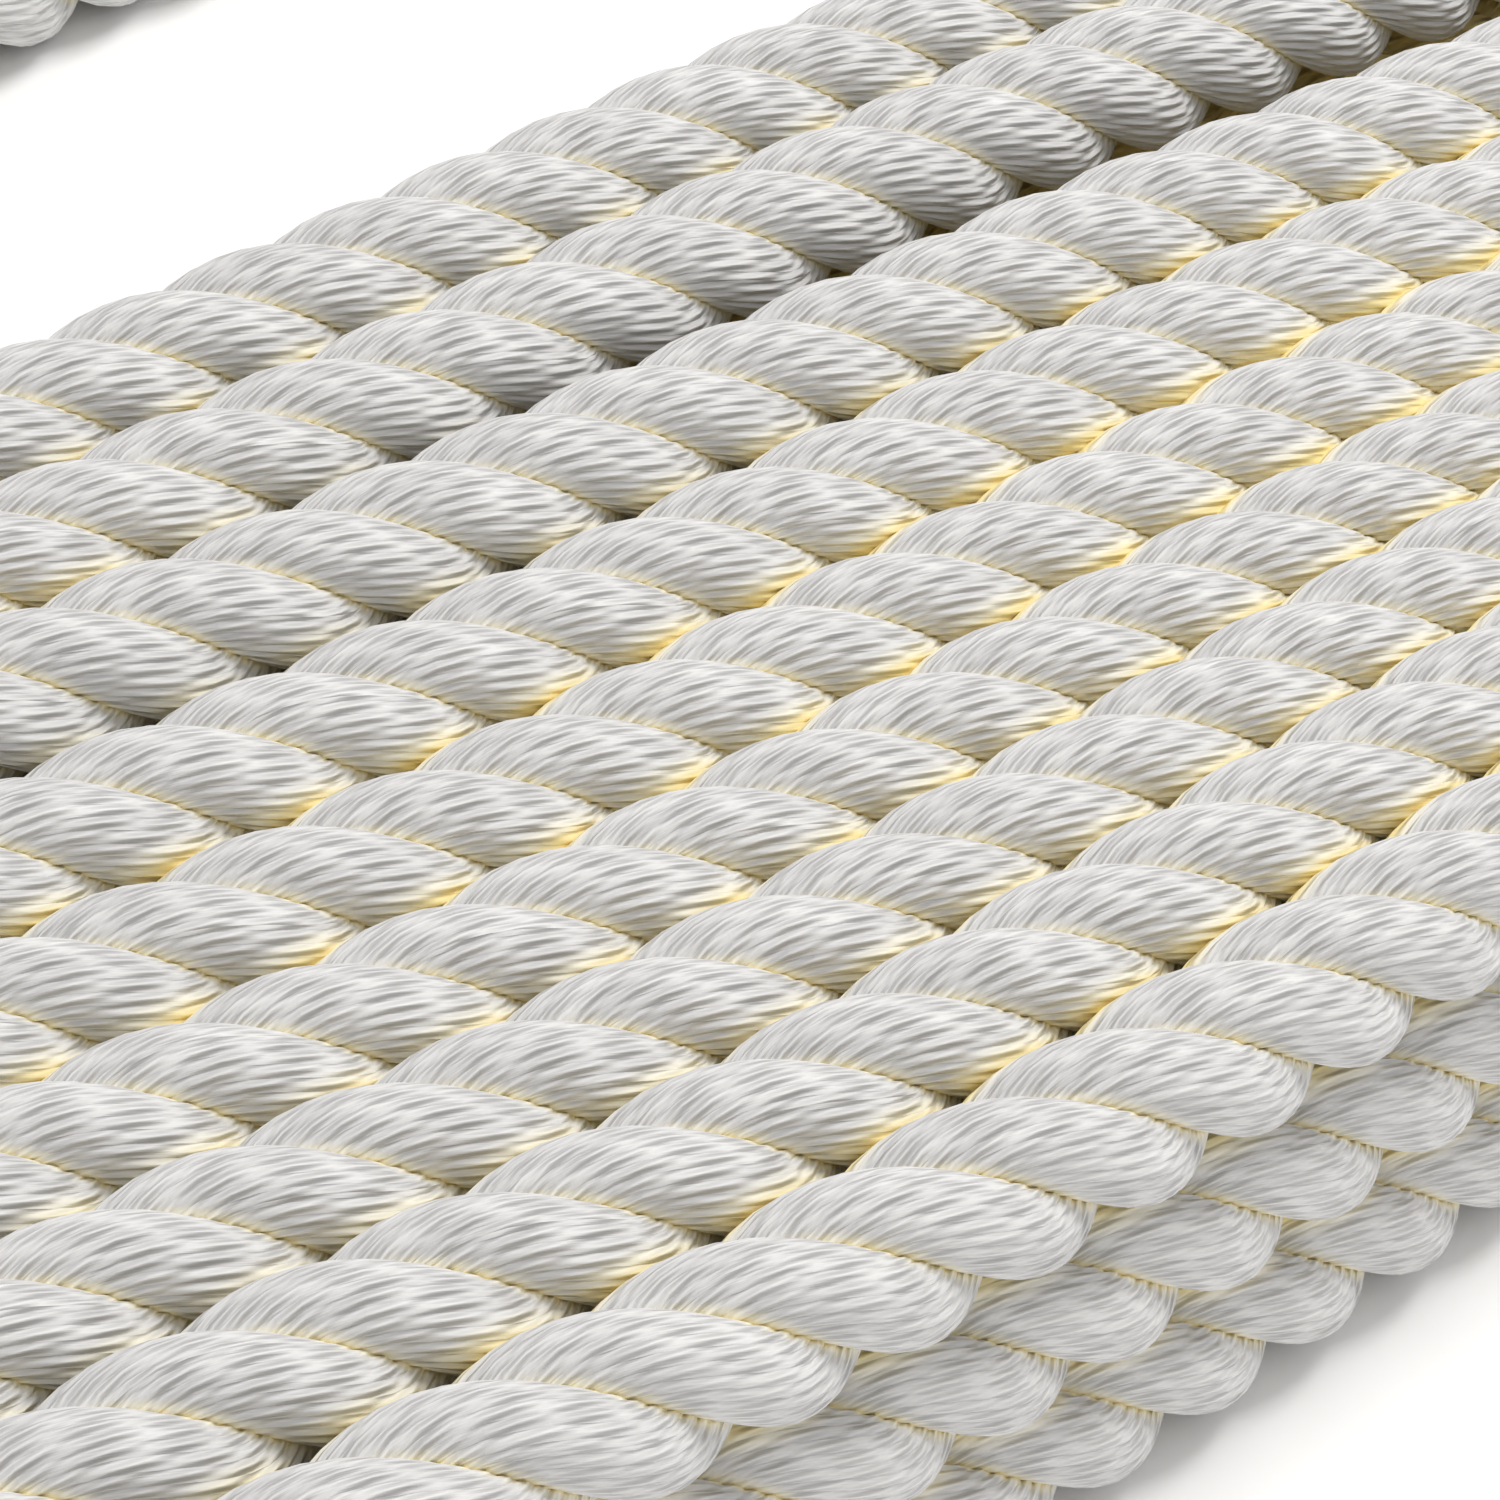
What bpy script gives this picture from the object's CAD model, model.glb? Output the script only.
"""Coiled dock line: white three-strand nylon rope, strapped in an oval coil.

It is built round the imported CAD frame.
"""
import math

import bpy
import numpy as np
from mathutils import Matrix, Vector
from mathutils.kdtree import KDTree


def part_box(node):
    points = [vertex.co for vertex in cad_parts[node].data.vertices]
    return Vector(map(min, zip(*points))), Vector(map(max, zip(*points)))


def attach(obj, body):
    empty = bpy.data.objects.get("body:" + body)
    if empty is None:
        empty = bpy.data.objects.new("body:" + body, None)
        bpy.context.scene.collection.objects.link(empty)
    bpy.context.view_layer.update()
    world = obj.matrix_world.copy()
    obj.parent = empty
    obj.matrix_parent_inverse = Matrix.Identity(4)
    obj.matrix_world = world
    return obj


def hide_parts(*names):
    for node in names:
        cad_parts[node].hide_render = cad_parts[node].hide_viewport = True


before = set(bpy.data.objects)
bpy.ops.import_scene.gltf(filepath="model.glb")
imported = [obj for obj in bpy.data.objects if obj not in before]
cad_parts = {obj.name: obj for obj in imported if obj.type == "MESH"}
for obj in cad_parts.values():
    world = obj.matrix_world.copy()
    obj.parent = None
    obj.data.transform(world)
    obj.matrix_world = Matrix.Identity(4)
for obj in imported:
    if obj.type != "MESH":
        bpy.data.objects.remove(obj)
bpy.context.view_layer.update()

# ---- sizes, in metres, as in part.py ------------------------------------------------------------

ROPE = 0.012
ROPE_RADIUS = ROPE / 2
TURNS_ACROSS = 9
LAYERS = 3
ROW_PITCH = 0.0122
LAYER_PITCH = 0.0115
BASE_GAP = 0.0015
HALF_RUN = 0.120
INNER_BEND = 0.046
OUTER_BEND = INNER_BEND + (TURNS_ACROSS - 1) * ROW_PITCH
HOLE_RADIUS = INNER_BEND - ROPE_RADIUS
COIL_RADIUS = OUTER_BEND + ROPE_RADIUS
COIL_TOP = BASE_GAP + ROPE + (LAYERS - 1) * LAYER_PITCH
EDGE_ROUND = 0.0055
STRAP_WIDTH = 0.025
STRAP_THICK = 0.0014
LEAD_OFFSET = COIL_RADIUS + STRAP_THICK + 0.003 + ROPE_RADIUS
EYE_RADIUS = 0.040
EYE_MIDDLE = LEAD_OFFSET + EYE_RADIUS
SPLICE_RADIUS = 0.0085
SPLICE_LENGTH = 9 * ROPE
WHIPPING_WIDTH = 0.014
WHIPPING_THICK = 0.001
TIP_LENGTH = 0.004
FLOOR_ROW = ROPE_RADIUS
BOTTOM_ROW = BASE_GAP + ROPE_RADIUS
TOP_ROW = COIL_TOP - ROPE_RADIUS

# The lay of the rope: three strands round its axis, right-handed.
LAY = 2.64 * ROPE
STRANDS = 3
STRAND_OFFSET = 0.270 * ROPE       # from the rope's axis to a strand's
STRAND_RADIUS = 0.250 * ROPE
YARNS = 20                         # in a strand's outer layer
YARN_TURNS = -1.40                 # round the strand in one lay of the rope, against its lay
YARN_RIDGE = 0.00010

coil_low, coil_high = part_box("rope_coil")
OVAL = (coil_low + coil_high) / 2  # the oval's middle


def place(x, y, z):
    """A point given from the oval's middle and the floor, as part.py gives it."""
    return Vector((OVAL.x + x, OVAL.y + y, z))


def smooth(x):
    x = np.clip(x, 0, 1)
    return x * x * (3 - 2 * x)


# ---- camera -------------------------------------------------------------------------------------

AIM = place(-0.024, -0.1032, TOP_ROW)
AZIMUTH = math.radians(-50.2)
ELEVATION = math.radians(38.44)
ROLL = math.radians(8.24)
DISTANCE = 33.78 * ROPE
LENS = 144


def make_camera():
    back = Vector((
        math.sin(AZIMUTH) * math.cos(ELEVATION),
        -math.cos(AZIMUTH) * math.cos(ELEVATION),
        math.sin(ELEVATION)))
    level = Vector((0, 0, 1)).cross(back).normalized()
    upright = back.cross(level)
    right = level * math.cos(ROLL) + upright * math.sin(ROLL)
    up = back.cross(right)
    data = bpy.data.cameras.new("camera")
    data.sensor_width = 36
    data.lens = LENS
    data.clip_start, data.clip_end = 0.01, 20
    camera = bpy.data.objects.new("camera", data)
    bpy.context.scene.collection.objects.link(camera)
    turn = Matrix((right, up, back)).transposed().to_4x4()
    camera.matrix_world = Matrix.Translation(AIM + back * DISTANCE) @ turn
    bpy.context.scene.camera = camera
    return right, up, back


view_right, view_up, view_back = make_camera()


# ---- the rope's route ---------------------------------------------------------------------------

# How the near rows lie where the photograph shows them, rows counted from the outermost in. These
# few values were rounded by hand from a scratch fit of the rows' lines in the photograph.
TIGHT_PITCH = 0.0116               # the rows bed into each other's grooves
OPEN_ROW = 7                       # a gap shows outside this row
OPEN_GAP = 0.0017
OPEN_NEIGHBOUR = 0.0010            # and the rows beside it lie a little looser
DIP = 0.0028                       # the middle rows sink
DIP_FIRST, DIP_LAST = 2, 5
DRIFT_RUN = 0.120
DRIFT_FIRST, DRIFT_STEP = 0.0010, -0.0014   # rows fan out to the left, each more than the last
DRIFT_PAST_GAP = -0.0020
BOW, WAVE = 0.006, -0.009          # all the rows bend together, in a slight S
VIEW_X = -0.024                    # the point on the near side that the camera looks at
DIP_SHARES = (0.5, 0.67, 1.0)      # lower layers dip less
OUTER_LEAN = (0.0012, 0.0009, 0.0) # the outermost row of each layer leans out by this much
OUTER_DROP = (0.0013, 0.0010, 0.0) # and sits this much lower

FAN_FROM, FAN_TO = -0.125, 0.120   # the rows' bend and fan grow no further past these places
LIE_FROM, LIE_FROM_FADE = -0.170, 0.050     # and die away towards the coil's ends
LIE_TO, LIE_TO_FADE = 0.154, 0.060

LEG_POINTS = 8
ARC_POINTS = 8
NEAR, LEFT, FAR, RIGHT = range(4)
# Where a turn moves to the next row of its layer, and where it climbs to the next layer. The whole
# number is the stretch: near side, left end, far side, right end.
SHIFTS = ((2.7, 3.0), (2.0, 2.3), (1.05, 1.45))
CLIMBS = ((2.3, 2.7), (1.45, 2.0))


def level(turn):
    """The row, from the inside, and the layer, from the floor, of a turn on its near side."""
    layer, step = divmod(turn, TURNS_ACROSS)
    return (step if layer % 2 == 0 else TURNS_ACROSS - 1 - step), layer


def near_lie(row, layer, along):
    """How far a row on the near side lies inside its even place, and how far below it."""
    number = TURNS_ACROSS - 1 - row
    t = (np.clip(along, FAN_FROM, FAN_TO) - VIEW_X) / DRIFT_RUN
    inward = number * (TIGHT_PITCH - ROW_PITCH) + BOW * t ** 2 + WAVE * t ** 3
    inward += OPEN_NEIGHBOUR * sum(number >= beside for beside in (OPEN_ROW - 1, OPEN_ROW + 1))
    dip = 0.0
    if number >= OPEN_ROW:
        inward += OPEN_GAP + DRIFT_PAST_GAP * t
    else:
        inward += (DRIFT_FIRST + DRIFT_STEP * number) * t
    if DIP_FIRST <= number <= DIP_LAST:
        swell = (number - DIP_FIRST + 0.5) / (DIP_LAST - DIP_FIRST + 1)
        dip = DIP * math.sin(math.pi * swell) ** 0.7 * DIP_SHARES[layer]
    if number == 0:
        inward -= OUTER_LEAN[layer]
        dip += OUTER_DROP[layer]
    fade = smooth((along - LIE_FROM) / LIE_FROM_FADE) * smooth((LIE_TO - along) / LIE_TO_FADE)
    return fade * inward, fade * dip


def turn_points(turn, first=0.0, last=4.0):
    """The control points of one turn, which runs clockwise seen from above."""
    row, layer = level(turn)
    next_row, next_layer = level(min(turn + 1, TURNS_ACROSS * LAYERS - 1))
    begin, end = SHIFTS[layer] if layer == next_layer else CLIMBS[layer]
    half_step = math.pi / ARC_POINTS / 2
    points = []
    for stretch in (NEAR, LEFT, FAR, RIGHT):
        count = LEG_POINTS if stretch in (NEAR, FAR) else ARC_POINTS
        for i in range(count):
            share = (i + 0.5) / count
            at = stretch + share
            if not first <= at <= last:
                continue
            moved = smooth((at - begin) / (end - begin))
            radius = INNER_BEND + ROW_PITCH * (row + (next_row - row) * moved)
            height = BOTTOM_ROW + LAYER_PITCH * (layer + (next_layer - layer) * moved)
            lie_row, lie_layer = (row, layer) if at < 2 else (next_row, next_layer)
            if stretch in (NEAR, FAR):
                # the outermost points of a leg are as far from its end as the arc's nearest
                reach = HALF_RUN - radius * math.tan(half_step)
                x = reach * (1 - 2 * i / (count - 1))
                inward, dip = near_lie(lie_row, lie_layer, x) if stretch == NEAR else (0, 0)
                side = -1 if stretch == NEAR else 1
                if stretch == FAR:
                    x = -x
                points.append(place(x, side * (radius - inward), height - dip))
                continue
            swept = math.pi * share
            along = -HALF_RUN - radius * swept
            if stretch == RIGHT:
                along = HALF_RUN + radius * (math.pi - swept)
            inward, dip = near_lie(lie_row, lie_layer, along)
            angle = -math.pi / 2 - swept if stretch == LEFT else math.pi / 2 - swept
            wide = (radius - inward) / math.cos(half_step)
            middle = -HALF_RUN if stretch == LEFT else HALF_RUN
            points.append(place(
                middle + wide * math.cos(angle), wide * math.sin(angle), height - dip))
    return points


# The bitter end lies inside the oval and bends into the innermost bottom turn.
TAIL_ROW = HOLE_RADIUS - ROPE_RADIUS - 0.0015
TAIL_BEND = (TAIL_ROW + INNER_BEND) / 2
TAIL_FLAT = TAIL_BEND * math.tan(math.pi / 8)
TAIL_X = HALF_RUN - 0.008
TAIL_MIDDLE = TAIL_ROW - TAIL_BEND
tail_points = [
    place(-0.070, TAIL_ROW - 0.009, FLOOR_ROW),
    place(-0.022, TAIL_ROW - 0.006, FLOOR_ROW),
    place(0.025, TAIL_ROW - 0.001, FLOOR_ROW),
    place(0.068, TAIL_ROW - 0.0015, FLOOR_ROW),
    place(TAIL_X + TAIL_FLAT, TAIL_ROW, FLOOR_ROW),
    place(TAIL_X + TAIL_BEND, TAIL_MIDDLE + TAIL_FLAT, FLOOR_ROW),
    place(TAIL_X + TAIL_BEND, TAIL_MIDDLE - TAIL_FLAT, FLOOR_ROW),
    place(TAIL_X + TAIL_FLAT, TAIL_MIDDLE - TAIL_BEND, FLOOR_ROW),
    place(TAIL_X - TAIL_FLAT, TAIL_MIDDLE - TAIL_BEND - 0.0005, FLOOR_ROW),
]

# The lead comes down round the coil's left end and lies along its far side, up to the splice.
THROAT_X = 0.050


def round_left(angle, offset, height):
    """A point round the coil's left end, its angle in degrees from +X."""
    turn = math.radians(angle)
    return place(-HALF_RUN + offset * math.cos(turn), offset * math.sin(turn), height)


splice_start = place(THROAT_X - SPLICE_LENGTH, LEAD_OFFSET, FLOOR_ROW)
lead_points = [
    round_left(226, COIL_RADIUS - 0.003, TOP_ROW - 0.002),
    round_left(206, LEAD_OFFSET - 0.001, TOP_ROW - 0.010),
    round_left(184, LEAD_OFFSET + 0.004, FLOOR_ROW + 0.005),
    round_left(162, LEAD_OFFSET + 0.003, FLOOR_ROW),
    round_left(140, LEAD_OFFSET + 0.004, FLOOR_ROW),
    round_left(118, LEAD_OFFSET + 0.003, FLOOR_ROW),
    round_left(99, LEAD_OFFSET + 0.001, FLOOR_ROW),
    place(THROAT_X - SPLICE_LENGTH - 0.040, LEAD_OFFSET + 0.001, FLOOR_ROW),
    splice_start,
]

# The eye opens at the throat and comes back to it.
EYE_FLAT = EYE_RADIUS * math.tan(math.pi / 8)
EYE_X = THROAT_X + 0.140
throat = place(THROAT_X, LEAD_OFFSET, FLOOR_ROW)
eye_points = [
    throat,
    place(THROAT_X + 0.050, LEAD_OFFSET - 0.0005, FLOOR_ROW),
    place(THROAT_X + 0.098, LEAD_OFFSET, FLOOR_ROW),
    place(EYE_X + EYE_FLAT, LEAD_OFFSET, FLOOR_ROW),
    place(EYE_X + EYE_RADIUS, EYE_MIDDLE - EYE_FLAT, FLOOR_ROW),
    place(EYE_X + EYE_RADIUS, EYE_MIDDLE + EYE_FLAT, FLOOR_ROW),
    place(EYE_X + EYE_FLAT, EYE_MIDDLE + EYE_RADIUS, FLOOR_ROW),
    place(EYE_X - 0.030, EYE_MIDDLE + EYE_RADIUS - 0.003, FLOOR_ROW),
    place(EYE_X - 0.075, EYE_MIDDLE + 0.018, FLOOR_ROW),
    place(THROAT_X + 0.025, LEAD_OFFSET + 0.030, FLOOR_ROW),
    place(THROAT_X, LEAD_OFFSET + ROPE + 0.001, FLOOR_ROW),
]


def route_points():
    points = list(tail_points)
    for turn in range(TURNS_ACROSS * LAYERS):
        # the first turn starts where the tail ends, and the last one ends where the lead starts
        first = 0.25 if turn == 0 else 0.0
        last = 1.10 if turn == TURNS_ACROSS * LAYERS - 1 else 4.0
        points += turn_points(turn, first, last)
    return points + lead_points + eye_points


def spline_line(points):
    """The line that a NURBS spline draws through its control points, as points close together."""
    curve = bpy.data.curves.new("route", "CURVE")
    curve.dimensions = "3D"
    curve.resolution_u = 12
    spline = curve.splines.new("NURBS")
    spline.points.add(len(points) - 1)
    for knot, point in zip(spline.points, points):
        knot.co = (*point, 1)
    spline.order_u = 3
    spline.use_endpoint_u = True
    holder = bpy.data.objects.new("route", curve)
    mesh = bpy.data.meshes.new_from_object(holder)
    line = np.array([v.co for v in mesh.vertices])
    bpy.data.objects.remove(holder)
    bpy.data.curves.remove(curve)
    bpy.data.meshes.remove(mesh)
    return line


def distances(line):
    return np.concatenate([[0], np.cumsum(np.linalg.norm(np.diff(line, axis=0), axis=1))])


def at_distance(line, along, wanted):
    """The line's points at these distances along it."""
    return np.stack([np.interp(wanted, along, line[:, i]) for i in range(3)], axis=1)


def unit(vectors):
    return vectors / np.maximum(np.linalg.norm(vectors, axis=-1, keepdims=True), 1e-12)


STEP = 0.0015                      # between the route's samples
TAIL_LENGTH = 0.25                 # the tail is over by here
LEAD_LENGTH = 0.90                 # and the lead, splice and eye are all in this last stretch
raw = spline_line(route_points())
raw_along = distances(raw)
ROUTE_LENGTH = float(raw_along[-1])
along = np.linspace(0, ROUTE_LENGTH, int(ROUTE_LENGTH / STEP))
route = at_distance(raw, raw_along, along)
tangent = unit(np.gradient(route, axis=0))
for _ in range(2):
    tangent[1:-1] = unit(tangent[:-2] + 2 * tangent[1:-1] + tangent[2:])
upward = np.array([0, 0, 1.0])
over = unit(upward - (tangent @ upward)[:, None] * tangent)
side = np.cross(over, tangent)
own = route - np.array([OVAL.x, OVAL.y, 0])      # from the oval's middle

on_near = (own[:, 1] < 0) & (np.abs(own[:, 0]) < HALF_RUN - 0.003) & (tangent[:, 0] < -0.9)
on_near &= along > TAIL_LENGTH
on_top = own[:, 2] > TOP_ROW - 0.6 * LAYER_PITCH


# ---- where the strands lie round the rope's axis -------------------------------------------------

# The lay runs on through every turn, so a row's grooves fall where the rope's own length brings
# them. They don't follow the photograph's, row by row.
phase = 2 * math.pi * along / LAY


# ---- how close each stretch lies to its neighbours ----------------------------------------------

NEIGHBOURS = 8
FAR_AWAY = 1.0
NEIGHBOUR_REACH = 1.7 * ROPE
NEIGHBOUR_APART = 0.05             # along the rope: closer points are the same stretch


def neighbour_offsets():
    """For samples of the route, where the ropes beside it lie, square to its axis."""
    stride = 4
    samples = np.arange(0, len(route), stride)
    tree = KDTree(len(samples))
    for number, i in enumerate(samples):
        tree.insert(route[i], number)
    tree.balance()
    offsets = np.full((len(samples), NEIGHBOURS, 3), FAR_AWAY)
    apart = int(NEIGHBOUR_APART / (STEP * stride))
    for number, i in enumerate(samples):
        best = []
        for _, other, _ in sorted(
                tree.find_range(route[i], NEIGHBOUR_REACH), key=lambda found: found[2]):
            if abs(other - number) < apart or any(abs(other - b) < apart for b in best):
                continue
            best.append(other)
            if len(best) > NEIGHBOURS:
                break
        for slot, other in enumerate(best[:NEIGHBOURS]):
            away = route[samples[other]] - route[i]
            offsets[number, slot] = away - (away @ tangent[i]) * tangent[i]
    return samples, offsets


# ---- meshes -------------------------------------------------------------------------------------

def mesh_object(name, points, faces, smooth_faces=True):
    """An object from an array of points and a list of arrays of faces."""
    mesh = bpy.data.meshes.new(name)
    mesh.vertices.add(len(points))
    mesh.vertices.foreach_set("co", np.asarray(points, np.float32).ravel())
    loops = np.concatenate([np.asarray(f, np.int32).ravel() for f in faces])
    sizes = np.concatenate([np.full(len(f), f.shape[1], np.int32) for f in faces])
    mesh.loops.add(len(loops))
    mesh.loops.foreach_set("vertex_index", loops)
    mesh.polygons.add(len(sizes))
    mesh.polygons.foreach_set("loop_start", np.concatenate([[0], np.cumsum(sizes)[:-1]]))
    mesh.polygons.foreach_set("use_smooth", np.full(len(sizes), smooth_faces))
    mesh.update(calc_edges=True)
    mesh.validate()
    piece = bpy.data.objects.new(name, mesh)
    bpy.context.scene.collection.objects.link(piece)
    return piece


def grid_faces(rings, around, start=0):
    """Quads between closed rings of points, facing outwards, and a cap on each end."""
    ring, corner = np.meshgrid(np.arange(rings - 1), np.arange(around), indexing="ij")
    after = (corner + 1) % around
    base = start + ring * around
    above = base + around
    quads = np.stack([base + corner, base + after, above + after, above + corner], axis=-1)
    first = start + np.arange(around)[::-1][None]
    final = start + (rings - 1) * around + np.arange(around)[None]
    return quads.reshape(-1, 4), first, final


def write_uv(mesh, name, around, rings, length):
    """Round and along a tube, for the faces of grid_faces and its caps."""
    ring, corner = np.meshgrid(np.arange(rings - 1), np.arange(around), indexing="ij")
    u0, u1 = corner / around, (corner + 1) / around
    v0, v1 = length[ring], length[ring + 1]
    quads = np.stack([u0, v0, u1, v0, u1, v1, u0, v1], axis=-1).ravel()
    caps = np.zeros(2 * 2 * around)
    layer = mesh.uv_layers.new(name=name)
    layer.data.foreach_set("uv", np.concatenate([quads, caps]).astype(np.float32))


# ---- the strands --------------------------------------------------------------------------------

SEEN_RINGS, OPEN_RINGS, END_RINGS, HIDDEN_RINGS = ((24, 10, 14, 5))
YARN_SHAPE = (0.5, 0.5, -1.0)       # a yarn's points across: its crown, and the groove beside it
AROUND = len(YARN_SHAPE) * YARNS


FINE_TAIL = 0.33                   # the tail and the start of its bend into the coil
FINE_LEAD = 1.0                    # the lead, the splice and the eye
RATE_BLEND = 9                     # samples over which one ring spacing runs into the next


def ring_places():
    """Distances along the route for the rings: close where seen, wide apart where hidden."""
    rate = np.full(len(along), float(HIDDEN_RINGS))
    outermost = OUTER_BEND - 0.5 * ROW_PITCH
    innermost = INNER_BEND + 0.5 * ROW_PITCH
    outside = np.abs(own[:, 1]) > outermost
    ends = np.abs(own[:, 0]) > HALF_RUN
    from_end = np.hypot(np.abs(own[:, 0]) - HALF_RUN, own[:, 1])
    outside |= ends & ((from_end > outermost) | (from_end < innermost))
    outside |= ~ends & (np.abs(own[:, 1]) < innermost)
    rate[outside | on_top] = OPEN_RINGS
    near_outer = own[:, 1] < -(OUTER_BEND - 1.5 * ROW_PITCH)
    rate[on_near & (on_top | near_outer)] = SEEN_RINGS
    rate[along < FINE_TAIL] = END_RINGS
    rate[along > ROUTE_LENGTH - FINE_LEAD] = END_RINGS
    rate = np.convolve(
        np.pad(rate, RATE_BLEND // 2, mode="edge"), np.ones(RATE_BLEND) / RATE_BLEND, "valid")
    count = np.concatenate([[0], np.cumsum((rate[1:] + rate[:-1]) / 2 * np.diff(along) / LAY)])
    return np.interp(np.linspace(0, count[-1], int(count[-1]) + 1), count, along)


rings_at = ring_places()
ring_axis = at_distance(route, along, rings_at)
ring_tangent = unit(at_distance(tangent, along, rings_at))
ring_over = unit(at_distance(over, along, rings_at))
ring_side = np.cross(ring_over, ring_tangent)
ring_phase = np.interp(rings_at, along, phase)


YARN_CENTRE = -0.5 / len(YARN_SHAPE) # where the shader finds the first yarn's crown
PLY_LENGTH = 0.0034                # one turn of a yarn's two plies
TUCKS_TURN = 1.25 * 2 * math.pi    # how far a tucked strand goes round the standing part
TUCK_ANGLE = math.radians(60)      # where the first strand enters
TUCK_RADIUS = 0.0021
TUCK_RINGS = 90
TUCK_FROM = 0.004                  # from the throat to the first tuck
TUCK_SHORT = 0.012                 # how much shorter the tucks are than the splice
TUCK_AXIS = 0.0046                 # from the rope's axis to a tucked strand's, where it ends
TUCK_STAND = 0.0006                # how much further out it is at the throat
TUCK_RISE = 0.0013                 # and how far it rises and dips there
TAPER_FROM = 0.55                  # the tucks thin out after this share of their length

in_splice = (
    (np.abs(own[:, 1] - LEAD_OFFSET) < 0.004)
    & (own[:, 0] > THROAT_X - SPLICE_LENGTH - 0.02) & (own[:, 0] < THROAT_X + 0.02)
    & (along > ROUTE_LENGTH - LEAD_LENGTH))
splice_first, splice_last = np.flatnonzero(in_splice)[[0, -1]]


def tucked(number):
    """A strand's axis back through the splice, from the throat.

    It winds against the lay and rises and dips where it crosses the standing strands, which is
    simpler than a real splice's tucks over one strand and under the next.
    """
    back_from = np.linspace(0, 1, TUCK_RINGS)
    x = THROAT_X - TUCK_FROM - back_from * (SPLICE_LENGTH - TUCK_SHORT)
    within = np.arange(splice_first, splice_last)
    lead = np.interp(OVAL.x + x, route[within, 0], within)
    axis = np.stack([np.interp(lead, np.arange(len(route)), route[:, i]) for i in range(3)], axis=1)
    angle = TUCK_ANGLE + 2 * math.pi / STRANDS * number + TUCKS_TURN * back_from
    strand_angle = np.interp(lead, np.arange(len(phase)), phase)
    lift = np.cos(STRANDS / 2 * (angle - strand_angle))
    fall = 1 - smooth((back_from - TAPER_FROM) / (1 - TAPER_FROM))
    radius = TUCK_AXIS + TUCK_RISE * lift * fall + TUCK_STAND * fall
    out = np.stack([np.zeros_like(angle), np.cos(angle), np.sin(angle)], axis=1)
    centre = axis + out * radius[:, None]
    thick = TUCK_RADIUS * (0.70 + 0.30 * fall)
    # the floor holds the underside up
    centre[:, 2] = np.maximum(centre[:, 2], thick + 0.0001)
    return centre, out, thick


# The lower layers show only through gaps, and glow gold there.
BURIED = 0.9
inside_wall = (
    (own[:, 1] > -(OUTER_BEND - 0.6 * ROW_PITCH)) & (own[:, 1] < -(INNER_BEND + 0.6 * ROW_PITCH)))
buried = on_near & ~on_top & inside_wall
ring_buried = np.interp(rings_at, along, buried.astype(float)) > 0.5


MELT_SQUEEZE, MELT_RUN = 0.20, 0.005
BIND_SQUEEZE, BIND_RUN = 0.06, 0.004
BIND_FROM, BIND_TO = 0.8 * ROPE, ROPE * 1.2 + WHIPPING_WIDTH


def squeezed(far):
    """How much the rope is pressed together at its melted end and under its whipping."""
    end = smooth(far / MELT_RUN)
    bound = smooth((far - BIND_FROM) / BIND_RUN) * smooth((BIND_TO - far) / BIND_RUN)
    return (1 - MELT_SQUEEZE + MELT_SQUEEZE * end) * (1 - BIND_SQUEEZE * bound)


def bezier(a, b, c, d, count):
    """Points between the ends of a cubic curve, the ends left out."""
    t = np.linspace(0, 1, count + 2)[1:-1, None]
    return (1 - t) ** 3 * a + 3 * (1 - t) ** 2 * t * b + 3 * (1 - t) * t ** 2 * c + t ** 3 * d


BRIDGE_RINGS = 10                  # from the eye's end into the first tuck
BRIDGE_REACH = 0.012
FLOOR_CLEAR = 0.00005


def strand(number):
    """One strand for the rope's whole length, with its yarns, and tucked into the splice."""
    angle = ring_phase + 2 * math.pi / STRANDS * number
    out = np.cos(angle)[:, None] * ring_side + np.sin(angle)[:, None] * ring_over
    across = np.cross(ring_tangent, out)
    slope = STRAND_OFFSET * 2 * math.pi / LAY
    forward = unit(ring_tangent + slope * across)
    centre = ring_axis + (STRAND_OFFSET * squeezed(rings_at))[:, None] * out
    radius = STRAND_RADIUS * squeezed(rings_at)

    tuck, tuck_out, tuck_radius = tucked(number)
    way = unit((tuck[1] - tuck[0])[None])[0]
    bridge = bezier(
        centre[-1], centre[-1] + forward[-1] * BRIDGE_REACH,
        tuck[0] - way * BRIDGE_REACH, tuck[0], BRIDGE_RINGS)
    t = np.linspace(0, 1, BRIDGE_RINGS + 2)[1:-1, None]
    centre = np.concatenate([centre, bridge, tuck])
    out = np.concatenate([out, unit(out[-1] * (1 - t) + tuck_out[0] * t + 1e-6), tuck_out])
    radius = np.concatenate([
        radius, (STRAND_RADIUS * (1 - t) + tuck_radius[0] * t)[:, 0], tuck_radius])
    free = len(forward)
    bent = unit(np.gradient(centre, axis=0))
    forward = np.concatenate([forward, bent[free:]])
    out = unit(out - (out * forward).sum(1, keepdims=True) * forward)
    across = np.cross(forward, out)
    far = np.concatenate([rings_at, rings_at[-1] + distances(centre[free - 1:])[1:]])

    corner = np.arange(AROUND)
    turned = 2 * math.pi * (corner[None] / AROUND + YARN_TURNS * far[:, None] / LAY)
    ridge = YARN_RIDGE * np.tile(YARN_SHAPE, YARNS)[None]
    reach = radius[:, None] + ridge
    points = (
        centre[:, None]
        + (reach * np.cos(turned))[..., None] * out[:, None]
        + (reach * np.sin(turned))[..., None] * across[:, None])
    points[..., 2] = np.maximum(points[..., 2], FLOOR_CLEAR)
    quads, first, final = grid_faces(len(centre), AROUND)
    piece = mesh_object(f"strand_{number + 1}", points.reshape(-1, 3), [quads, first, final])
    write_uv(piece.data, "yarns", AROUND, len(centre), far)
    write_crevice(piece.data, points, free)
    return piece


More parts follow.
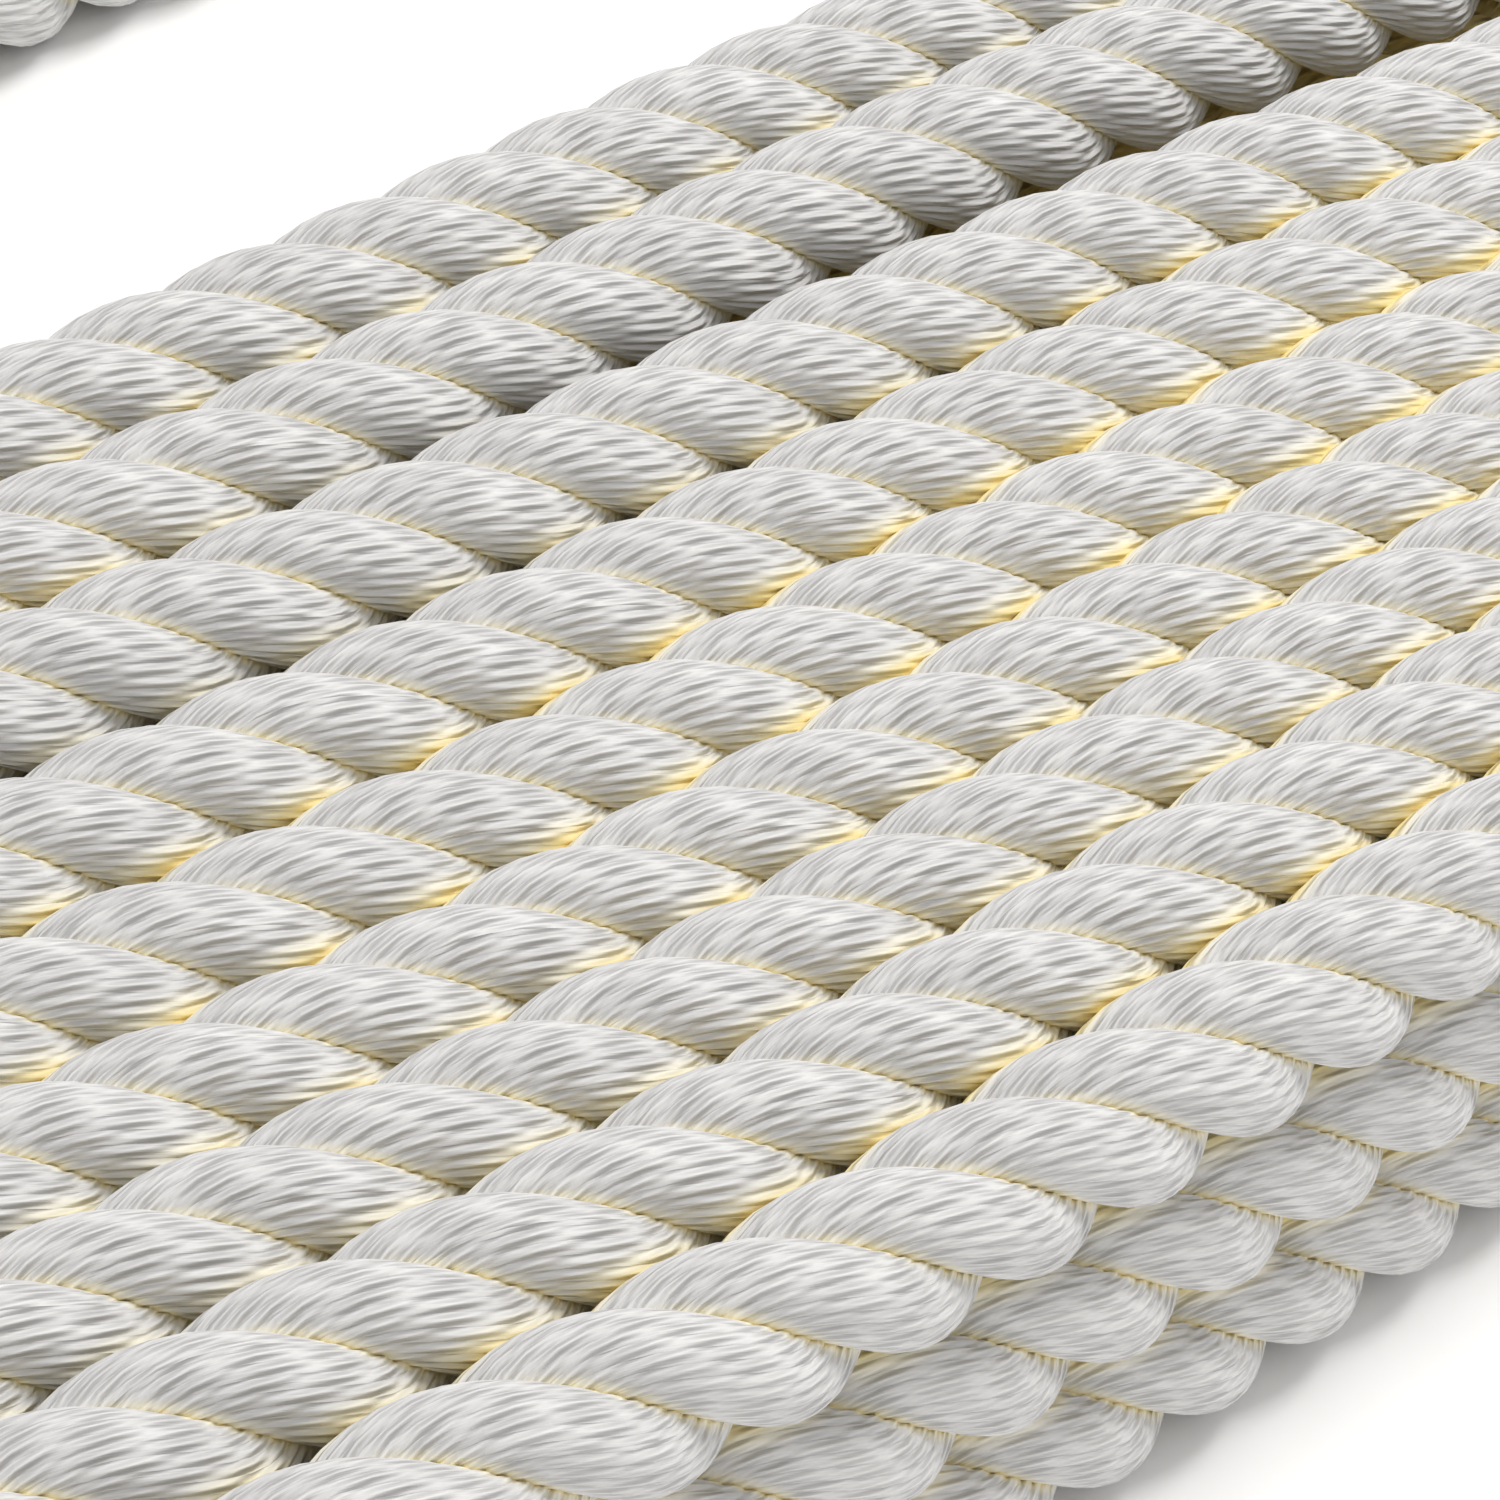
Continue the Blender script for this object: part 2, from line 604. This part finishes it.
GROOVE_DEPTH = 0.5 * ROPE_RADIUS   # as deep as the crevice colour counts
NEAR_GAP = 0.6 * ROPE_RADIUS       # as far from the next rope as it counts


def across_rope(vectors):
    """What is left of each ring's vectors when the part along the rope is taken out."""
    forward = ring_tangent[:, None]
    return vectors - (vectors * forward).sum(-1, keepdims=True) * forward


def write_crevice(mesh, points, free):
    """How deep each point lies in the rope's grooves, and how near it is to the rope beside it."""
    from_axis = points[:free] - ring_axis[:, None]
    depth = ROPE_RADIUS - np.linalg.norm(across_rope(from_axis), axis=-1)
    nearest = np.clip(np.searchsorted(along[samples], rings_at), 0, len(samples) - 1)
    gap = np.full(depth.shape, FAR_AWAY)
    for slot in range(NEIGHBOURS):
        away = across_rope(from_axis - offsets[nearest, slot][:, None])
        gap = np.minimum(gap, np.linalg.norm(away, axis=-1) - ROPE_RADIUS)
    groove = np.zeros(points.shape[:2])
    groove[:free] = np.clip(depth / GROOVE_DEPTH, 0, 1)
    near = np.zeros(points.shape[:2])
    near[:free] = np.clip(1 - gap / NEAR_GAP, 0, 1)
    near[:free][ring_buried] = np.maximum(near[:free][ring_buried], BURIED)
    for name, values in (("groove", groove), ("near", near)):
        layer = mesh.attributes.new(name, "FLOAT", "POINT")
        layer.data.foreach_set("value", values.astype(np.float32).ravel())


samples, offsets = neighbour_offsets()
strands = [strand(number) for number in range(STRANDS)]


# ---- whippings and the fused tip ----------------------------------------------------------------

TWINE_PER_TURN, TWINE_AROUND = 40, 10
SPLICE_TWINE = 0.0008              # the twine's radius
TWINE_WOBBLE, TWINE_LIFT = 0.06, 0.05       # how unevenly it is laid, as shares of its radius


def whipping(name, start, way, width, core, twine, seed):
    """Close turns of twine round the rope."""
    random = np.random.default_rng(seed)
    way = np.array(way.normalized())
    sideways = unit(np.cross([0, 0, 1.0], way)[None])[0]
    above = np.cross(way, sideways)
    turns = int(width / (2 * twine * 1.02))
    count = turns * TWINE_PER_TURN + 1
    share = np.linspace(0, 1, count)
    angle = 2 * math.pi * turns * share
    turn = np.arange(turns + 1)
    wobble = np.interp(share * turns, turn, random.normal(0, TWINE_WOBBLE * twine, turns + 1))
    lift = np.interp(share * turns, turn, random.normal(0, TWINE_LIFT * twine, turns + 1))
    radius = core + twine + lift
    length = twine + (width - 2 * twine) * share + wobble
    out = np.cos(angle)[:, None] * sideways + np.sin(angle)[:, None] * above
    centre = np.array(start) + length[:, None] * way + radius[:, None] * out
    turned = 2 * math.pi * np.arange(TWINE_AROUND) / TWINE_AROUND
    forward = unit(np.gradient(centre, axis=0))
    out = unit(out - (out * forward).sum(1, keepdims=True) * forward)
    across = np.cross(forward, out)
    points = centre[:, None] + twine * (
        np.cos(turned)[None, :, None] * out[:, None]
        + np.sin(turned)[None, :, None] * across[:, None])
    points[..., 2] = np.maximum(points[..., 2], 0.0002)
    quads, first, final = grid_faces(count, TWINE_AROUND)
    piece = mesh_object(name, points.reshape(-1, 3), [quads, first, final])
    write_uv(piece.data, "yarns", TWINE_AROUND, count, distances(centre))
    return piece


splice_way = Vector((SPLICE_LENGTH, 0, SPLICE_RADIUS - ROPE_RADIUS)).normalized()
splice_whipping = whipping(
    "splice_whipping_twine", splice_start, splice_way, WHIPPING_WIDTH,
    ROPE_RADIUS + 0.0001, SPLICE_TWINE, 3)
tail_way = (tail_points[0] - tail_points[1]).normalized()
end_whipping = whipping(
    "end_whipping_twine", tail_points[0] - tail_way * (WHIPPING_WIDTH + ROPE), tail_way,
    WHIPPING_WIDTH, ROPE_RADIUS - 0.0001, 0.5 * WHIPPING_THICK, 4)


def fused_tip():
    """The melted end: the three strands' lobes run together into a lumpy dome."""
    random = np.random.default_rng(5)
    way = np.array(tail_way)
    sideways = unit(np.cross([0, 0, 1.0], way)[None])[0]
    above = np.cross(way, sideways)
    around, rings = 48, 22
    share = np.linspace(0, 1, rings)
    angle = 2 * math.pi * np.arange(around) / around
    lumps = sum(
        random.uniform(0.2, 1) * np.cos(k * angle + random.uniform(0, 6)) / k
        for k in (2, 3, 5, 7))
    # a bead bulges just past the cut, and then the dome closes
    profile = np.sqrt(np.clip(1 - share ** 2.6, 0, 1)) * 0.98
    lobes = 1 - 0.05 * (1 - share[:, None]) * (1 - np.cos(STRANDS * angle[None])) / 2
    radius = ROPE_RADIUS * profile[:, None] * lobes * (1 + 0.02 * lumps[None])
    length = -0.0026 + share * (TIP_LENGTH + 0.0024)
    points = (
        np.array(tail_points[0]) + length[:, None, None] * way
        + (radius * np.cos(angle))[..., None] * sideways
        + (radius * np.sin(angle))[..., None] * above)
    points[..., 2] = np.maximum(points[..., 2], 0.0001)
    quads, first, final = grid_faces(rings, around)
    return mesh_object("fused_end", points.reshape(-1, 3), [quads, first, final])


fused = fused_tip()


# ---- the straps ---------------------------------------------------------------------------------

RIB = 0.0016                       # the webbing's ribs, along and across
RIB_HEIGHT = 0.00022
SELVEDGE = 0.0012                  # how far in the rolled edge reaches
LAP = 0.046                        # how far the sewn ends overlap


def band_profile(middle_x, grow, step):
    """Points round a rounded rectangle, from the middle of its top, and their distance along it."""
    half = (COIL_RADIUS - HOLE_RADIUS) / 2 + grow
    low, high = STRAP_THICK - grow, COIL_TOP + grow
    corner = EDGE_ROUND + grow
    corners = (
        (half - corner, high - corner, 90), (half - corner, low + corner, 0),
        (-half + corner, low + corner, -90), (-half + corner, high - corner, -180))
    line = [(0, high)]
    for x, z, begin in corners:
        for angle in np.linspace(begin, begin - 90, 13):
            turn = math.radians(angle)
            line.append((x + corner * math.cos(turn), z + corner * math.sin(turn)))
    line.append((0, high))
    line = np.array([(middle_x + x, 0, z) for x, z in line])
    far = distances(line)
    wanted = np.linspace(0, far[-1], int(round(far[-1] / step)) + 1)
    return at_distance(line, far, wanted), wanted


def webbing(name, profile, far, closed, lift):
    """A woven band along a profile in the XZ plane: ribs on both faces and rolled edges."""
    profile = profile + np.array([OVAL.x, OVAL.y, 0])
    forward = unit(np.gradient(profile, axis=0))
    if closed:
        forward[0] = forward[-1] = unit((forward[0] + forward[-1])[None])[0]
    out = np.cross(forward, [0, 1.0, 0])
    columns = int(STRAP_WIDTH / (RIB / 4)) + 1
    y = np.linspace(-STRAP_WIDTH / 2, STRAP_WIDTH / 2, columns)
    edge = np.clip((STRAP_WIDTH / 2 - np.abs(y)) / SELVEDGE, 0, 1)
    edge = np.sqrt(np.clip(1 - (1 - edge) ** 2, 0, 1))
    weave = np.cos(2 * math.pi * far[:, None] / RIB) * np.cos(math.pi * y[None] / RIB)
    weave = weave + 0.5 * np.cos(2 * math.pi * y[None] / RIB)
    half = STRAP_THICK / 2
    top = lift + half * edge[None] + RIB_HEIGHT * (weave - 1) * edge[None]
    bottom = lift - half * edge[None] - RIB_HEIGHT * (weave - 1) * edge[None] * 0.5
    base = profile[:, None] + y[None, :, None] * np.array([0, 1.0, 0])
    upper = base + top[..., None] * out[:, None]
    lower = base + bottom[..., None] * out[:, None]
    # each ring goes over the outer face and back under the inner one
    ring = np.concatenate([upper, lower[:, -2:0:-1]], axis=1)
    ring[..., 2] = np.maximum(ring[..., 2], 0.0)
    rings, around = ring.shape[:2]
    quads, first, final = grid_faces(rings, around)
    quads = quads[:, ::-1]
    if not closed:
        return mesh_object(name, ring.reshape(-1, 3), [quads, first[:, ::-1], final[:, ::-1]])
    # the last ring lies on the first, so its faces use the first ring's points
    last = (rings - 1) * around
    quads = np.where(quads >= last, quads - last, quads)
    return mesh_object(name, ring[:-1].reshape(-1, 3), [quads])


STITCH_PITCH, STITCH_RADIUS = 0.0026, 0.00038
STITCH_RISE, STITCH_SINK = 0.00042, 0.00030  # its middle stands up and its ends go in


def stitches(name, middle_x, top):
    """A box of stitches with a cross in it, which holds the strap's lap."""
    half_x, half_y = 0.36 * LAP, 0.36 * STRAP_WIDTH
    corners = [(-half_x, -half_y), (half_x, -half_y), (half_x, half_y), (-half_x, half_y)]
    runs = [(corners[i], corners[(i + 1) % 4]) for i in range(4)]
    runs += [(corners[0], corners[2]), (corners[1], corners[3])]
    points, faces, start = [], [], 0
    around, rings = 8, 9
    angle = 2 * math.pi * np.arange(around) / around
    share = np.linspace(0, 1, rings)
    for begin, end in runs:
        begin, end = np.array(begin), np.array(end)
        long = np.linalg.norm(end - begin)
        count = int(long / STITCH_PITCH)
        way = (end - begin) / long
        cross = np.array([-way[1], way[0]])
        for i in range(count):
            from_start = (i + 0.5 + 0.82 * (share - 0.5)) * long / count
            flat = begin + from_start[:, None] * way
            height = STITCH_RISE * np.sin(math.pi * share) ** 0.6 - STITCH_SINK
            slim = STITCH_RADIUS * (0.55 + 0.45 * np.sin(math.pi * share))
            xy = flat[:, None] + (slim[:, None] * np.cos(angle))[..., None] * cross
            z = top + height[:, None] + slim[:, None] * np.sin(angle) * 0.8
            at = np.concatenate([xy, z[..., None]], axis=-1)
            at[..., 0] += OVAL.x + middle_x
            at[..., 1] += OVAL.y
            points.append(at.reshape(-1, 3))
            quads, first, final = grid_faces(rings, around, start)
            faces.append((quads, first, final))
            start += around * rings
    kinds = [np.concatenate([f[k] for f in faces]) for k in range(3)]
    return mesh_object(name, np.concatenate(points), kinds)


def make_strap(name, way):
    middle = way * (HALF_RUN + (HOLE_RADIUS + COIL_RADIUS) / 2)
    profile, far = band_profile(middle, STRAP_THICK / 2, RIB / 4)
    # the weave closes without a seam
    far = far * round(far[-1] / RIB) * RIB / far[-1]
    band = webbing(name, profile, far, True, 0)
    # the lap: the strap's end lies on its beginning, and its tips bend down
    count = int(LAP / (RIB / 4))
    x = np.linspace(-LAP / 2, LAP / 2, count)
    lap_height = COIL_TOP + 1.5 * STRAP_THICK
    lap_line = np.stack([middle + x, np.zeros(count), np.full(count, lap_height)], 1)
    sag = smooth((LAP / 2 - np.abs(x)) / 0.002)
    lap_line[:, 2] -= 0.0003 * (1 - sag)
    lap = webbing(name + "_lap", lap_line, x + LAP, False, -0.0001)
    thread = stitches(name + "_stitches", middle, COIL_TOP + 2 * STRAP_THICK)
    return band, lap, thread


strap_pieces = {name: make_strap(name + "_webbing", way) for name, way in (
    ("strap_left", -1), ("strap_right", 1))}


# ---- materials ----------------------------------------------------------------------------------

class Nodes:
    """Short calls for building a node tree."""

    def __init__(self, name):
        self.material = bpy.data.materials.new(name)
        self.material.use_nodes = True
        self.tree = self.material.node_tree
        self.shader = self.tree.nodes["Principled BSDF"]

    def add(self, kind, inputs=(), **settings):
        node = self.tree.nodes.new(kind)
        for key, value in settings.items():
            setattr(node, key, value)
        for key, value in dict(inputs).items():
            self.put(node.inputs[key], value)
        return node

    def put(self, socket, value):
        if isinstance(value, bpy.types.NodeSocket):
            self.tree.links.new(value, socket)
        else:
            socket.default_value = value

    def math(self, operation, a, b=0.0, clamp=False):
        node = self.add("ShaderNodeMath", {0: a, 1: b}, operation=operation, use_clamp=clamp)
        return node.outputs[0]

    def mix(self, share, a, b, blend="MIX"):
        node = self.add("ShaderNodeMix", data_type="RGBA", blend_type=blend)
        self.put(node.inputs["Factor"], share)
        self.put(node.inputs["A"], a)
        self.put(node.inputs["B"], b)
        return node.outputs["Result"]

    def ramp(self, value, low, high, to_low=0.0, to_high=1.0):
        node = self.add(
            "ShaderNodeMapRange", {0: value, 1: low, 2: high, 3: to_low, 4: to_high},
            interpolation_type="SMOOTHSTEP")
        return node.outputs[0]

    def noise(self, scale, detail, vector=None, roughness=0.5):
        inputs = {"Scale": scale, "Detail": detail, "Roughness": roughness}
        if vector is not None:
            inputs["Vector"] = vector
        return self.add("ShaderNodeTexNoise", inputs).outputs["Fac"]

    def bump(self, height, distance, strength):
        """Raise the shader's surface by a height."""
        node = self.add(
            "ShaderNodeBump", {"Height": height, "Distance": distance, "Strength": strength})
        self.put(self.shader.inputs["Normal"], node.outputs[0])

    def attribute(self, name):
        return self.add("ShaderNodeAttribute", attribute_name=name).outputs["Fac"]


def rgba(red, green, blue):
    return (red, green, blue, 1)


def nylon_material():
    n = Nodes("nylon_rope")
    uv = n.add("ShaderNodeUVMap", uv_map="yarns").outputs["UV"]
    split = n.add("ShaderNodeSeparateXYZ", {0: uv})
    around, far = split.outputs["X"], split.outputs["Y"]
    # a yarn's crown is at a whole number, and its groove half way to the next
    yarn = n.math("ADD", n.math("MULTIPLY", around, float(YARNS)), YARN_CENTRE)
    number = n.math("ROUND", yarn)
    off_crown = n.math("SUBTRACT", yarn, number)
    crown = n.math("COSINE", n.math("MULTIPLY", off_crown, 2 * math.pi))
    # each yarn is two plies twisted together, which show as leaf-shaped facets
    start = n.add("ShaderNodeTexWhiteNoise", {"W": number}, noise_dimensions="1D")
    ply_at = n.math("ADD", off_crown, start.outputs["Value"])
    ply_at = n.math("ADD", n.math("MULTIPLY", far, 1 / PLY_LENGTH), ply_at)
    ply = n.math("COSINE", n.math("MULTIPLY", ply_at, 2 * math.pi))
    ply_edge = n.ramp(ply, -0.55, -1.0)
    # the filaments run along each yarn: fine streaks, long and thin
    streak_at = n.add("ShaderNodeCombineXYZ", {
        "X": n.math("MULTIPLY", around, YARNS * 11.0), "Y": n.math("MULTIPLY", far, 420.0)})
    streaks = n.noise(1.0, 3.0, streak_at.outputs[0], roughness=0.6)
    facet_at = n.add("ShaderNodeCombineXYZ", {"X": n.math("FLOOR", ply_at), "Y": number})
    facet = n.add("ShaderNodeTexWhiteNoise", {"Vector": facet_at.outputs[0]}, noise_dimensions="2D")
    groove, near = n.attribute("groove"), n.attribute("near")
    white = n.mix(facet.outputs["Value"], rgba(0.630, 0.622, 0.618), rgba(0.790, 0.785, 0.775))
    shine = n.math("MULTIPLY", n.ramp(streaks, 0.35, 0.70), 0.45)
    white = n.mix(shine, white, rgba(0.94, 0.94, 0.935))
    furrow = n.math("MAXIMUM", n.ramp(crown, -0.25, -1.0), n.math("MULTIPLY", ply_edge, 0.7))
    white = n.mix(n.math("MULTIPLY", furrow, 0.32), white, rgba(0.58, 0.575, 0.58))
    deep = n.math("MAXIMUM", n.ramp(groove, 0.36, 0.88), n.ramp(near, 0.30, 1.0))
    cream = n.mix(n.ramp(deep, 0.0, 0.6), white, rgba(0.97, 0.93, 0.78))
    gold = n.mix(n.ramp(deep, 0.5, 1.0), cream, rgba(1.0, 0.84, 0.40))
    n.put(n.shader.inputs["Base Color"], gold)
    n.put(n.shader.inputs["Roughness"], n.ramp(streaks, 0.2, 0.8, 0.38, 0.58))
    n.shader.inputs["Specular IOR Level"].default_value = 0.5
    n.shader.inputs["Sheen Weight"].default_value = 0.15
    n.shader.inputs["Sheen Roughness"].default_value = 0.4
    height = n.math("ADD", n.math("MULTIPLY", crown, 0.5), n.math("MULTIPLY", streaks, 0.28))
    height = n.math("ADD", height, n.math("MULTIPLY", ply, 0.90))
    n.bump(height, 0.00013, 1.0)
    return n.material


def twine_material():
    n = Nodes("whipping_twine")
    uv = n.add("ShaderNodeUVMap", uv_map="yarns").outputs["UV"]
    split = n.add("ShaderNodeSeparateXYZ", {0: uv})
    lay = n.math(
        "ADD", n.math("MULTIPLY", split.outputs["X"], 3.0),
        n.math("MULTIPLY", split.outputs["Y"], 700.0))
    plies = n.math("COSINE", n.math("MULTIPLY", lay, 2 * math.pi))
    noise = n.noise(2500.0, 4.0)
    colour = n.mix(n.ramp(plies, -1.0, 0.6), rgba(0.50, 0.44, 0.32), rgba(0.84, 0.79, 0.66))
    colour = n.mix(n.math("MULTIPLY", noise, 0.4), colour, rgba(0.93, 0.90, 0.80))
    n.put(n.shader.inputs["Base Color"], colour)
    n.put(n.shader.inputs["Roughness"], n.ramp(noise, 0.3, 0.7, 0.45, 0.7))
    height = n.math("ADD", plies, n.math("MULTIPLY", noise, 0.6))
    n.bump(height, 0.00012, 0.8)
    return n.material


def fused_material():
    n = Nodes("fused_nylon")
    noise = n.noise(420.0, 5.0)
    scorch = n.noise(190.0, 2.0)
    colour = n.mix(n.ramp(noise, 0.35, 0.7), rgba(0.72, 0.60, 0.38), rgba(0.87, 0.80, 0.62))
    colour = n.mix(n.ramp(scorch, 0.58, 0.75), colour, rgba(0.33, 0.20, 0.09))
    n.put(n.shader.inputs["Base Color"], colour)
    n.put(n.shader.inputs["Roughness"], n.ramp(noise, 0.3, 0.7, 0.18, 0.42))
    n.shader.inputs["Coat Weight"].default_value = 0.3
    n.bump(noise, 0.0003, 0.5)
    return n.material


def webbing_material(name, dark, light):
    n = Nodes(name)
    position = n.add("ShaderNodeTexCoord").outputs["Object"]
    thread = n.noise(2600.0, 3.0, position)
    wear = n.noise(90.0, 4.0, position)
    colour = n.mix(n.ramp(thread, 0.3, 0.7), dark, light)
    worn = n.math("MULTIPLY", n.ramp(wear, 0.45, 0.80), 0.18)
    colour = n.mix(worn, colour, rgba(0.30, 0.33, 0.38))
    n.put(n.shader.inputs["Base Color"], colour)
    n.put(n.shader.inputs["Roughness"], n.ramp(thread, 0.3, 0.7, 0.5, 0.75))
    n.shader.inputs["Sheen Weight"].default_value = 0.3
    n.bump(thread, 0.0001, 0.7)
    return n.material


nylon = nylon_material()
twine = twine_material()
fused_nylon = fused_material()
strap_webbing = webbing_material(
    "strap_webbing", rgba(0.012, 0.020, 0.045), rgba(0.035, 0.055, 0.110))
strap_thread = webbing_material("strap_thread", rgba(0.55, 0.56, 0.58), rgba(0.80, 0.80, 0.78))


# ---- stage and light ----------------------------------------------------------------------------

def floor():
    mesh = bpy.data.meshes.new("floor")
    far, height = 6.0, -0.0002
    corners = [(-far, -far, height), (far, -far, height), (far, far, height), (-far, far, height)]
    mesh.from_pydata(corners, [], [(0, 1, 2, 3)])
    piece = bpy.data.objects.new("floor", mesh)
    bpy.context.scene.collection.objects.link(piece)
    n = Nodes("floor")
    n.shader.inputs["Base Color"].default_value = rgba(0.97, 0.97, 0.97)
    n.shader.inputs["Roughness"].default_value = 0.8
    mesh.materials.append(n.material)


def area_light(name, towards, away, size, power, colour):
    """A square light that looks at the middle of the view from a direction and distance."""
    data = bpy.data.lights.new(name, "AREA")
    data.shape = "SQUARE"
    data.size = size
    data.energy = power
    data.color = colour
    lamp = bpy.data.objects.new(name, data)
    bpy.context.scene.collection.objects.link(lamp)
    lamp.location = AIM + towards.normalized() * away
    lamp.rotation_mode = "QUATERNION"
    lamp.rotation_quaternion = towards.to_track_quat("Z", "Y")


def light():
    world = bpy.data.worlds.new("studio")
    bpy.context.scene.world = world
    world.use_nodes = True
    background = world.node_tree.nodes["Background"]
    background.inputs["Color"].default_value = rgba(1.0, 0.985, 0.97)
    background.inputs["Strength"].default_value = 0.66
    key_way = view_right * 0.45 + view_up * 0.90 + view_back * 0.35
    fill_way = view_right * -0.6 + view_up * 0.5 + view_back * 0.7
    area_light("key", key_way, 1.6, 0.7, 15, (1, 0.99, 0.97))
    area_light("fill", fill_way, 2.0, 1.5, 3, (0.93, 0.95, 1))


floor()
light()
bpy.context.scene.view_settings.view_transform = "Standard"

# ---- the frame ----------------------------------------------------------------------------------

for piece in strands:
    piece.data.materials.append(nylon)
    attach(piece, "root")
    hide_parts("rope_coil", "lead_leg", "eye_splice", "eye_loop", "tail_leg")
for piece, node, slot, material in (
    (splice_whipping, "splice_whipping", "whipping_twine", twine),
    (end_whipping, "end_whipping", "whipping_twine", twine),
    (fused, "fused_tip", "fused_nylon", fused_nylon),
):
    piece.data.materials.append(material)
    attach(piece, "root")
    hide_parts(node)
for node, (band, lap, thread) in strap_pieces.items():
    for piece in (band, lap, thread):
        piece.data.materials.append(strap_thread if piece is thread else strap_webbing)
        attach(piece, "root")
        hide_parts(node)
